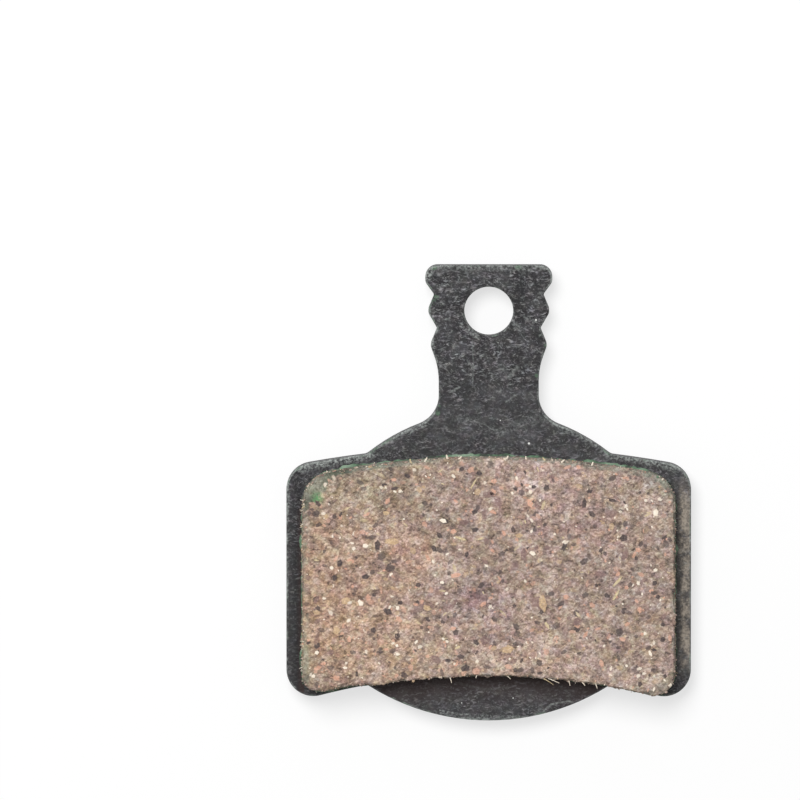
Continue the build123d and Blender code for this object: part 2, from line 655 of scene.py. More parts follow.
    def painted_shade(self, masks: PlateMasks) -> Socket:
        """Draw painted shade, tinted dark brown, on the plate along the lining's lower and left edges, where
        the lining shades it.

        Args:
            masks: The plate's surface.

        Returns:
            Share of the painted shade.
        """
        sheet = masks.sheet
        middle = (0.0, LINING_FOOT - LINING_FOOT_R, self.upper_face)
        below = sheet.product(
            sheet.step(sheet.gap(middle), *(LINING_FOOT_R - depth for depth in self.brown_under_foot)),
            sheet.step(masks.y, *self.brown_below),
            sheet.step(sheet.math("ABSOLUTE", masks.x), *self.brown_ends),
        )
        beside = sheet.product(
            sheet.step(masks.x, *self.brown_left), sheet.step(masks.x, *self.brown_left_end),
            sheet.step(masks.y, *self.brown_left_top),
        )
        return sheet.product(sheet.most(below, beside), masks.upper, self.brown_share)

    def rolled(self, masks: PlateMasks) -> Socket:
        """Mask of the rolled upper edge."""
        under_face = masks.sheet.step(masks.z, *(self.upper_face - depth for depth in self.roll_under_face))
        return masks.sheet.product(under_face, masks.sheet.step(masks.upward, 0.995, 0.9))

    def worn_and_lit_edges(self, masks: PlateMasks, rolled: Socket) -> Socket:
        """Draw the wear on the rolled edge and on the broken edge at the back, with painted highlight where
        the rolled edge faces the light.

        Args:
            masks: The plate's surface.
            rolled: Mask of the rolled edge.

        Returns:
            Share of bare steel and of painted highlight.
        """
        sheet = masks.sheet
        broken = sheet.product(
            sheet.step(masks.upward, -0.3, -0.5), sheet.step(masks.upward, -0.95, -0.85), 0.6)
        rubbed = sheet.product(self.spots(sheet, self.rubbed_and_lit_corners, masks.ragged), 0.2)
        worn = sheet.step(sheet.total(sheet.noise(1.1, 4.0, 0.66), rubbed), 0.44, 0.66)
        return sheet.product(sheet.most(rolled, broken), sheet.raised(worn, 0.75, 0.06), masks.flaked)

    def smeared(self, masks: PlateMasks, rolled: Socket) -> Socket:
        """Draw the stray adhesive, in spots and along the rolled edge.

        Args:
            masks: The plate's surface.
            rolled: Mask of the rolled edge.

        Returns:
            Share of adhesive.
        """
        sheet = masks.sheet
        blotch = sheet.step(sheet.noise(3.4, 3.0, 0.6), 0.36, 0.6)
        spots = sheet.product(self.spots(sheet, self.green_spots, masks.ragged), blotch, 0.6)
        stray = sheet.product(rolled, sheet.step(sheet.noise(0.55, 3.0, 0.6), 0.54, 0.66), 0.5)
        return sheet.most(spots, stray)

    def material(self) -> bpy.types.Material:
        """Build the coating's material.

        Returns:
            The finished material.
        """
        sheet = NodeSheet("plate_coating")
        masks = PlateMasks(sheet)
        rolled, dusty = self.rolled(masks), self.dusty(masks)
        powder = sheet.step(masks.x, *self.powder_start)
        powder = sheet.product(powder, *self.beside_lining(masks), self.powder_share)
        layers = (
            (self.scratches_and_sheen(masks), self.bare_steel_and_sheen),
            (sheet.most(dusty, powder), self.dust),
            (self.painted_shade(masks), self.brown),
            (self.worn_and_lit_edges(masks, rolled), self.bare_steel_and_sheen),
            (self.smeared(masks, rolled), self.adhesive),
            (self.spots(sheet, self.white_specks, sheet.place), self.speck),
        )
        colour = sheet.mix(self.flecks_and_glints(masks), self.dark, self.light)
        cast = sheet.noise(1.6, 2.0, output="Color")
        colour = sheet.mix(self.cast, colour, sheet.mix(1.0, colour, cast, "OVERLAY"))
        for mask, tint in layers:
            colour = sheet.mix(mask, colour, tint)
        heights = ((masks.grit, 0.8), (masks.strokes, 0.4), (masks.ribs, masks.wall))
        relief = sheet.total(*[sheet.product(height, share) for height, share in heights])
        return sheet.surface({
            "Base Color": colour, "Roughness": sheet.raised(dusty, 0.3, 0.56), "Specular IOR Level": 0.22,
            "Normal": sheet.bump(relief, 0.8, 0.12),
        })


@dataclass(frozen=True)
class AdhesiveGreen:
    """Dull green adhesive, dirty in places."""

    clean: Colour = tone(88, 118, 92)
    pale: Colour = tone(138, 160, 138)
    dirty: Colour = tone(52, 61, 52)

    def material(self) -> bpy.types.Material:
        """Build the adhesive's material.

        Returns:
            The finished material.
        """
        sheet = NodeSheet("adhesive_green")
        patches = sheet.noise(0.7, 4.0, 0.65)
        colour = sheet.ramp(patches, ((0.4, self.dirty), (0.5, self.clean), (0.66, self.pale)))
        grain = sheet.noise(9.0, 2.0)
        return sheet.surface({
            "Base Color": colour, "Roughness": 0.6, "Specular IOR Level": 0.35,
            "Normal": sheet.bump(grain, 0.4, 0.03),
        })


@dataclass(frozen=True)
class TintedArea:
    """Soft-edged area of the lining whose colour leans another way, in mm from the hole."""

    centre: tuple[float, float]
    radius: float
    tint: Colour


@dataclass(frozen=True)
class LiningCompound:
    """Brown compound of felted fibres and fine grains, with a grey skin where grinding didn't reach."""

    shadow: Colour = tone(78, 66, 60)
    body: Colour = tone(164, 142, 129)
    glint: Colour = tone(228, 210, 194)
    skin_dark: Colour = tone(74, 71, 65)
    skin_green: Colour = tone(112, 136, 108)
    skin_light: Colour = tone(198, 198, 184)
    skin_tint: Colour = (0.66, 0.78, 0.76, 1.0)
    stain: Colour = tone(94, 150, 96)
    stain_centre: tuple[float, float, float] = (-13.9, -15.17, 3.8)
    stain_radius: float = 0.8
    face: float = 4.0
    strand_turns: tuple[float, ...] = (10.0, 44.0, -26.0)
    red_lean: float = 0.25
    blue_lean: float = 0.37
    # Broad tints over the face: partly the compound's own tone and hue, partly painted light and shade; the
    # light areas along the bottom offset the shade at the lower edge.
    areas: tuple[TintedArea, ...] = (
        TintedArea((-15.0, -24.0), 13.0, (1.18, 1.07, 0.94, 1.0)),
        TintedArea((-11.5, -13.6), 5.5, (0.9, 0.95, 0.88, 1.0)),
        TintedArea((-6.8, -15.0), 4.0, (0.9, 0.9, 0.85, 1.0)),
        TintedArea((-12.6, -21.4), 3.6, (0.88, 0.88, 0.9, 1.0)),
        TintedArea((-5.5, -29.0), 6.0, (1.15, 1.13, 1.06, 1.0)),
        TintedArea((3.0, -29.0), 7.0, (1.2, 1.18, 1.16, 1.0)),
        TintedArea((-1.0, -23.8), 5.5, (0.95, 0.93, 0.99, 1.0)),
        TintedArea((4.0, -14.6), 6.5, (1.16, 1.13, 1.17, 1.0)),
        TintedArea((-6.0, -19.6), 3.2, (1.09, 1.0, 0.97, 1.0)),
        TintedArea((8.6, -17.6), 3.0, (0.94, 0.88, 0.92, 1.0)),
    )
    patches: tuple[TintedArea, ...] = (
        TintedArea((14.0, -29.8), 2.4, (1.1, 1.13, 1.12, 1.0)),
        TintedArea((-14.2, -29.8), 2.4, (0.76, 0.8, 0.78, 1.0)),
        TintedArea((-1.3, -23.2), 1.3, (0.84, 0.74, 0.82, 1.0)),
        TintedArea((14.2, -13.6), 2.6, (1.04, 1.14, 1.16, 1.0)),
        TintedArea((-15.3, -28.0), 1.7, (0.84, 0.96, 0.86, 1.0)),
        TintedArea((-15.6, -22.4), 1.9, (0.7, 0.76, 0.74, 1.0)),
        TintedArea((-15.4, -20.2), 1.3, (0.76, 0.84, 0.8, 1.0)),
    )
    # Darker on the two worn slopes at the upper left.
    darker_slopes: tuple[TintedArea, ...] = (
        TintedArea((-12.2, -12.9), 2.4, (0.4, 0.46, 0.44, 1.0)),
        TintedArea((-14.7, -15.6), 1.6, (0.42, 0.44, 0.43, 1.0)),
    )
    felt_share: float = 0.46
    level_drop: float = 0.875

    def tinted(self, sheet: NodeSheet, colour: Socket, areas: Sequence[TintedArea], place: Socket) -> Socket:
        """Multiply a colour by the tint of each area, inside it.

        Args:
            sheet: Material that takes the nodes.
            colour: The colour.
            areas: The areas.
            place: Where they are read.

        Returns:
            The tinted colour.
        """
        for area in areas:
            mask = sheet.spot((*area.centre, self.face), area.radius, place, 0.1)
            colour = sheet.mix(mask, colour, sheet.mix(1.0, colour, area.tint, "MULTIPLY"))
        return colour

    def ground(self, sheet: NodeSheet) -> tuple[Socket, Socket]:
        """Draw the compound without its large grains.

        Args:
            sheet: Material that takes the nodes.

        Returns:
            Its colour, and its height from about 0 to 1.
        """
        felt = sheet.total(*[sheet.strands(turn, 6.0, 2.2) for turn in self.strand_turns])
        fine = sheet.noise(9.0, 2.0, 0.6, 0.4)
        sand = sheet.channels(sheet.cells(4.6, sheet.warped(5.0, 0.12)))
        crumbs = sheet.channels(sheet.cells(2.3, sheet.warped(3.0, 0.3)))
        patch = sheet.noise(0.95, 3.0, 0.6)
        broad = sheet.noise(0.4, 2.0)
        glints = sheet.step(sheet.noise(7.5, 1.0), 0.62, 0.8)
        parts = (
            (felt, self.felt_share), (fine, 0.35), (sand[0], 0.16), (crumbs[0], 0.11), (patch, 0.44),
            (broad, 0.29), (glints, 0.28),
        )
        level = sheet.total(*[sheet.product(part, share) for part, share in parts])
        colour = sheet.ramp(sheet.math("SUBTRACT", level, self.level_drop),
                            ((0.19, self.shadow), (0.5, self.body), (0.81, self.glint)))

        lean = sheet.channels(sheet.noise(1.15, 3.0, 0.62, output="Color"))
        red, blue = (
            sheet.total(sheet.product(lean[channel], 0.78), sheet.total(
                sheet.product(crumbs[channel], 0.17), sheet.product(sand[channel], 0.05)))
            for channel in (1, 2)
        )
        reddened = sheet.mix(red, (1 - self.red_lean, 1, 1, 1), (1 + self.red_lean, 1, 1, 1))
        blued = sheet.mix(blue, (1, 1, 1 + self.blue_lean, 1), (1, 1, 1 - self.blue_lean, 1))
        for tint in (reddened, blued):
            colour = sheet.mix(1.0, colour, tint, "MULTIPLY")
        colour = self.tinted(sheet, colour, self.areas, sheet.warped(0.3, 4.0))
        colour = self.tinted(sheet, colour, self.patches, sheet.warped(1.4, 0.8))
        return colour, sheet.total(sheet.product(felt, 0.25), sheet.product(fine, 0.3))

    def material(self) -> bpy.types.Material:
        """Build the compound's material.

        Returns:
            The finished material, which reads the block's skin and pit attributes.
        """
        sheet = NodeSheet("lining_compound")
        colour, relief = self.ground(sheet)
        colour = sheet.mix(sheet.product(sheet.attribute("pit"), 0.5), colour, self.shadow)

        gritty = sheet.noise(6.0, 4.0, 0.75, 0.1)
        crust = sheet.ramp(gritty, ((0.37, self.skin_dark), (0.66, self.skin_light)))
        mossy = sheet.step(sheet.noise(0.9, 4.0, 0.7), 0.42, 0.6)
        crust = sheet.mix(sheet.product(mossy, 0.2), crust, self.skin_green)
        crust = sheet.mix(0.55, crust, sheet.mix(1.0, colour, self.skin_tint, "MULTIPLY"))
        crust = self.tinted(sheet, crust, self.darker_slopes, sheet.warped(1.4, 0.8))
        colour = sheet.mix(sheet.attribute("skin"), colour, crust)
        stained = sheet.product(sheet.spot(self.stain_centre, self.stain_radius, sheet.warped(2.8, 0.6), 0.1),
                                sheet.step(sheet.noise(6.0, 2.0), 0.2, 0.62))
        colour = sheet.mix(stained, colour, self.stain)
        return sheet.surface({
            "Base Color": colour, "Roughness": 0.82, "Specular IOR Level": 0.3,
            "Normal": sheet.bump(relief, 0.5, 0.05),
        })


class Grain(Enum):
    """Kinds of grain: dark colour, light colour, roughness and how much of the compound shows through."""

    BLACK = (tone(46, 38, 39), tone(86, 73, 72), 0.55, 0.15)
    WHITE = (tone(246, 228, 206), tone(255, 247, 231), 0.45, 0.05)
    COPPER = (tone(208, 152, 127), tone(240, 190, 164), 0.5, 0.45)
    STRAW = (tone(204, 185, 140), tone(238, 220, 178), 0.55, 0.45)
    TAN = (tone(190, 157, 118), tone(234, 205, 164), 0.7, 0.5)
    BRICK = (tone(112, 88, 86), tone(150, 122, 118), 0.8, 0.5)

    def material(self, compound: LiningCompound) -> bpy.types.Material:
        """Build this grain's material.

        Args:
            compound: What the grain is set in, which its rim fades into.

        Returns:
            The finished material, which reads the grains' core and strength attributes.
        """
        dark, light, roughness, mottling = self.value
        sheet = NodeSheet("grain_" + self.name.lower())
        ground, relief = compound.ground(sheet)
        colour = sheet.ramp(sheet.noise(5.0, 3.0, 0.65), ((0.34, dark), (0.66, light)))
        core, strength = (sheet.attribute(name) for name in GRAIN_MARKS)
        frayed = sheet.total(core, sheet.product(sheet.noise(7.0, 2.0, 0.6), 0.7))
        holes = sheet.product(sheet.step(sheet.noise(8.5, 3.0, 0.65), 0.6, 0.4), mottling)
        share = sheet.product(sheet.step(frayed, 0.32, 0.8), strength, sheet.rest(holes))
        return sheet.surface({
            "Base Color": sheet.mix(share, ground, colour), "Roughness": roughness,
            "Specular IOR Level": 0.3, "Normal": sheet.bump(relief, 0.4, 0.04),
        })


@dataclass
class BackingPlate:
    """The blanked steel plate, shown as packed."""

    node: str = "backing_plate"
    finish: PlateCoating = PlateCoating()

    def build(self) -> bpy.types.Object:
        """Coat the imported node.

        Returns:
            The plate.
        """
        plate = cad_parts[self.node]
        plate.data.materials.clear()
        plate.data.materials.append(self.finish.material())
        return plate


@dataclass(frozen=True)
class Squeeze:
    """Place where the film is pressed further out, or drawn back by a negative reach, in mm from the hole."""

    centre: tuple[float, float]
    radius: float
    reach: float
    core: float = 0.3

    def at(self, place: Vector) -> float:
        """How far the film is pressed out at a place."""
        gap = (place - Vector(self.centre)).length
        return self.reach * smooth_step(self.radius, self.core * self.radius, gap)


@dataclass
class BondingFilm:
    """The adhesive film, with an edge that runs in and out round the lining's foot."""

    node: str = "bonding_film"
    reach: float = 0.15 * MM
    shrink: float = 0.05 * MM
    grid: float = 0.16 * MM
    wave: float = 1.1 * MM
    flat_angle: float = 0.3
    wall_slope: float = 0.5
    squeezes: tuple[Squeeze, ...] = (
        Squeeze((-2.0, -11.8), 3.6, 0.16), Squeeze((2.6, -11.8), 3.0, 0.12),
        Squeeze((-11.2, -12.7), 1.5, 0.17), Squeeze((10.6, -12.6), 3.2, 0.13),
        Squeeze((-15.25, -18.9), 0.8, 0.2), Squeeze((-15.25, -28.6), 1.2, 0.16),
        Squeeze((15.25, -27.9), 0.7, 0.16), Squeeze((15.25, -20.5), 2.5, 0.06),
        Squeeze((-12.2, -30.9), 3.4, -0.2),
    )
    finish: AdhesiveGreen = AdhesiveGreen()

    def divided(self) -> bmesh.types.BMesh:
        """Copy the node with its edges cut to the grid.

        Returns:
            The film, with an even row of points round it.
        """
        film = merged_copy(self.node)
        flat = math.radians(self.flat_angle)
        bmesh.ops.dissolve_limit(film, angle_limit=flat, verts=film.verts[:], edges=film.edges[:])
        by_cuts: dict[int, list[bmesh.types.BMEdge]] = {}
        for edge in film.edges:
            run = edge.verts[1].co - edge.verts[0].co
            cuts = round(run.xy.length / self.grid) - 1
            if cuts > 0:
                by_cuts.setdefault(cuts, []).append(edge)
        for cuts, edges in by_cuts.items():
            bmesh.ops.subdivide_edges(film, edges=edges, cuts=cuts, use_grid_fill=True)
        film.normal_update()
        return film

    def press(self, film: bmesh.types.BMesh) -> None:
        """Move the film's edge in and out.

        Args:
            film: The film, which is changed.
        """
        moves: dict[bmesh.types.BMVert, Vector] = {}
        for wall in [face for face in film.faces if abs(face.normal.z) < self.wall_slope]:
            for vert in wall.verts:
                moves[vert] = moves.get(vert, Vector()) + wall.normal
        for vert, outward in moves.items():
            spread = noise.fractal(Vector((vert.co.x, vert.co.y, 0)) / self.wave, 0.7, 2.0, 5)
            outward.normalize()
            pressed = sum(squeeze.at(vert.co.xy / MM) for squeeze in self.squeezes)
            vert.co += outward * (self.reach * spread - self.shrink + pressed * MM)

    def build(self) -> bpy.types.Object:
        """Make the film from its node and give it an uneven edge.

        Returns:
            The film.
        """
        film = self.divided()
        self.press(film)
        mesh = finished_mesh("bonding_film_squeezed", film, [self.finish.material()])
        piece = add_piece("bonding_film_squeezed", mesh)
        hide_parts(self.node)
        return piece


@dataclass(frozen=True)
class WornCorner:
    """Corner of the lining that slopes off outside the line from start to end, in mm from the hole."""

    start: tuple[float, float]
    end: tuple[float, float]
    slope: float
    crust: float = 1.0

    def depth(self, point: Vector, face: float) -> tuple[float, Vector]:
        """Find how far a point stands out of the slope.

        Args:
            point: Point in mm.
            face: Height of the friction face in mm.

        Returns:
            The distance above the slope in mm, and the slope's outward normal.
        """
        run = Vector((self.end[0] - self.start[0], self.end[1] - self.start[1], 0)).normalized()
        outward = Vector((-run.y, run.x, 0))
        slope = math.radians(self.slope)
        normal = outward * math.sin(slope) + Vector((0, 0, math.cos(slope)))
        return (point - Vector((*self.start, face))).dot(normal), normal


@dataclass
class FrictionLining:
    """The moulded block, dense enough for pits, a ragged rim and worn corners. Lengths are in mm."""

    finish: LiningCompound
    node: str = LINING_NODE
    cell: float = 0.1
    foot_band: float = 0.13
    foot_fade: Fade = (0.0, 0.35)
    flat_slope: Fade = (0.55, 0.9)
    wall_slope: float = 0.5
    rim_height: float = 0.4
    rim_band: float = 0.5
    grain_depth: float = 0.012
    grain_size: float = 0.28
    dent_depth: float = 0.014
    dent_size: float = 0.6
    swell_depth: float = 0.02
    swell_size: float = 4.0
    pit_depth: float = 0.09
    pit_size: float = 0.5
    chip_depth: float = 0.2
    chip_size: float = 0.9
    chip_into_wall: float = 0.6
    wall_relief: float = 0.1
    wall_lump: float = 0.7
    crumble: float = 0.1
    crumble_size: float = 0.24
    crust_size: float = 0.9
    fleck_size: float = 0.25
    clean_foot: Fade = (-28.0, -29.0)
    crusted_left: Fade = (-14.4, -14.9)
    corner_foot: float = 0.3
    corner_relief: float = 0.06
    corner_lump: float = 0.5
    drawn_in: float = 0.3
    drawn_left: Fade = (-9.2, -10.8)
    drawn_band: float = 1.3
    corners: tuple[WornCorner, ...] = (
        WornCorner((-14.75, -16.3), (-12.2, -13.1), 24.0),
        WornCorner((-12.8, -13.3), (-6.0, -12.3), 22.0),
        WornCorner((7.5, -12.6), (13.0, -13.4), 22.0, 0.8),
        WornCorner((13.1, -13.3), (14.9, -15.1), 22.0),
        WornCorner((14.9, -29.3), (12.9, -30.9), 18.0, 0.5),
    )

    def __post_init__(self) -> None:
        """Take the block's box from its imported node."""
        self.low, self.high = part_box(self.node)

    def even_quads(self) -> bmesh.types.BMesh:
        """Remesh the node's block in even quads.

        Returns:
            The dense skin.
        """
        mesh = finished_mesh("lining_skin", merged_copy(self.node))
        holder = placed("lining_skin", mesh)
        remesh = holder.modifiers.new("even_quads", "REMESH")
        remesh.mode = "VOXEL"
        remesh.voxel_size = self.cell * MM
        dense = bpy.data.meshes.new_from_object(holder.evaluated_get(bpy.context.evaluated_depsgraph_get()))
        skin = bmesh.new()
        skin.from_mesh(dense)
        bpy.data.objects.remove(holder)
        bpy.data.meshes.remove(dense)
        bpy.data.meshes.remove(mesh)
        return skin

    def dense_block(self) -> bmesh.types.BMesh:
        """Set the dense skin on a straight foot.

        Returns:
            The block, closed, with its underside as one face.
        """
        skin = self.even_quads()
        level = Vector((0, 0, self.low.z + self.foot_band * MM))
        geometry = skin.verts[:] + skin.edges[:] + skin.faces[:]
        bmesh.ops.bisect_plane(skin, geom=geometry, plane_co=level, plane_no=(0, 0, 1), clear_inner=True)
        rim = [edge for edge in skin.edges if edge.is_boundary]
        grown = bmesh.ops.extrude_edge_only(skin, edges=rim)["geom"]
        for vert in (item for item in grown if isinstance(item, bmesh.types.BMVert)):
            vert.co.z = self.low.z
        bmesh.ops.holes_fill(skin, edges=[edge for edge in skin.edges if edge.is_boundary], sides=0)
        bmesh.ops.recalc_face_normals(skin, faces=skin.faces[:])
        skin.normal_update()
        return skin

    def drawn(self, point: Vector) -> Vector:
        """Find how far the lower left edge is drawn in at a point.

        Args:
            point: Point in mm.

        Returns:
            The shift in mm.
        """
        gap = LINING_FOOT_R - (point.xy - Vector((0, LINING_FOOT - LINING_FOOT_R))).length
        share = smooth_step(*self.drawn_left, point.x) * smooth_step(-self.drawn_band, 0.0, gap)
        return Vector((0, self.drawn_in * share, 0))

    def roughened(self, point: Vector, normal: Vector, flat: float, near_rim: float, pit: float) -> Vector:
        """Find how far the surface's bumps, pits and chips move a point.

        Args:
            point: Point in mm.
            normal: The surface's normal there.
            flat: How far it belongs to the friction face, from 0 to 1.
            near_rim: How near it is to the rim, from 0 to 1.
            pit: How far it lies in a pit, from 0 to 1.

        Returns:
            The shift in mm.
        """
        lifted = smooth_step(*self.foot_fade, point.z - self.low.z / MM)
        grain = self.grain_depth * noise.noise(point / self.grain_size)
        grain += self.dent_depth * noise.noise(point / self.dent_size)
        swell = self.swell_depth * noise.noise(point / self.swell_size)
        chip = near_rim * smooth_step(0.0, 0.6, noise.fractal(point / self.chip_size, 1.0, 2.0, 3) + 0.15)
        ragged = self.wall_relief * noise.fractal(point / self.wall_lump + Vector((3, 9, 5)), 1.0, 2.0, 4)
        ragged += self.crumble * near_rim * noise.noise(point / self.crumble_size)
        inward = normal * ((1 - flat) * (ragged - self.chip_into_wall * self.chip_depth * chip))
        upward = flat * (grain + swell - self.pit_depth * pit) - self.chip_depth * chip
        return lifted * (inward + Vector((0, 0, upward)))

    def crusted(self, point: Vector, flat: float, near_rim: float) -> float:
        """Find how much of the grey skin a point shows.

        Args:
            point: Point in mm.
            flat: How far it belongs to the friction face, from 0 to 1.
            near_rim: How near it is to the rim, from 0 to 1.

        Returns:
            The skin's share.
        """
        crust = noise.noise(point / self.crust_size)
        on_wall = 0.9 * (1 - flat) * smooth_step(-0.35, 0.25, crust)
        kept = 0.7 - 0.5 * smooth_step(*self.clean_foot, point.y)
        on_rim = kept * near_rim * smooth_step(-0.2, 0.3, crust)
        flecks_and_glints = smooth_step(-0.5, 0.3, crust + 0.5 * noise.noise(point / self.fleck_size))
        return max(on_wall, on_rim, 0.85 * smooth_step(*self.crusted_left, point.x) * flecks_and_glints)

    def worn(self, point: Vector, shifted: Vector, skin: float) -> tuple[Vector, float]:
        """Slope off the worn corners at a point.

        Args:
            point: Point in mm.
            shifted: Where it has moved to.
            skin: How much of the grey skin it shows.

        Returns:
            Where it moves to now, and how much of the skin it shows.
        """
        face = self.high.z / MM
        above_foot = point.z > self.low.z / MM + self.corner_foot
        for corner in self.corners:
            depth, normal = corner.depth(shifted, face)
            depth += self.corner_relief * noise.fractal(point / self.corner_lump, 1.0, 2.0, 3)
            if depth > 0 and above_foot:
                shifted = shifted - normal * depth
                broken = smooth_step(0.0, 0.1, depth + 0.05 * noise.noise(point / self.corner_lump))
                skin = max(skin, corner.crust * broken)
            elif corner.depth(Vector((point.x, point.y, face)), face)[0] > 0:
                skin = max(skin, corner.crust)
        return shifted, skin

    def weather(self, block: bmesh.types.BMesh) -> tuple[list[float], list[float]]:
        """Roughen the block, chip its rim and slope off its worn corners.

        Args:
            block: The dense block, which is changed.

        Returns:
            For each vertex, how much of the grey skin and of a pit it shows.
        """
        below_face = self.high.z - self.rim_height * MM
        rim = finder([v.co for v in block.verts if v.normal.z < self.wall_slope and v.co.z > below_face])
        moved, skins, pits = [], [], []
        for vert in block.verts:
            point = vert.co / MM
            flat = smooth_step(*self.flat_slope, vert.normal.z)
            near_rim = smooth_step(self.rim_band, 0.0, rim.find(vert.co)[2] / MM)
            pit = smooth_step(0.34, 0.62, noise.noise(point / self.pit_size + Vector((7, 3, 1)))) * flat
            shifted = point + self.roughened(point, vert.normal, flat, near_rim, pit) + self.drawn(point)
            shifted, skin = self.worn(point, shifted, self.crusted(point, flat, near_rim))
            moved.append(shifted * MM)
            skins.append(skin)
            pits.append(pit)
        for vert, place in zip(block.verts, moved):
            vert.co = place
        return skins, pits

    def build(self) -> bpy.types.Object:
        """Make the block and dress it in the compound.

        Returns:
            The lining.
        """
        block = self.dense_block()
        skins, pits = self.weather(block)
        mesh = finished_mesh("friction_lining_block", block, [self.finish.material()])
        for name, values in (("skin", skins), ("pit", pits)):
            mesh.attributes.new(name, "FLOAT", "POINT").data.foreach_set("value", values)
        mesh.shade_smooth()
        piece = add_piece("friction_lining_block", mesh)
        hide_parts(self.node)
        return piece


@dataclass(frozen=True)
class GrainBatch:
    """Grains of one kind strewn over the face: number, lengths in mm, width to length and strength."""

    kind: Grain
    count: int
    shortest: float
    longest: float
    narrowest: float
    widest: float
    faintest: float = 0.35
    strongest: float = 1.0


@dataclass(frozen=True)
class SetGrain:
    """Grain at a known place on the face, in mm from the hole and degrees, with its lift out of the face."""

    kind: Grain
    x: float
    y: float
    length: float
    width: float
    turn: float = 0.0
    strength: float = 1.0
    lift: float = 0.0


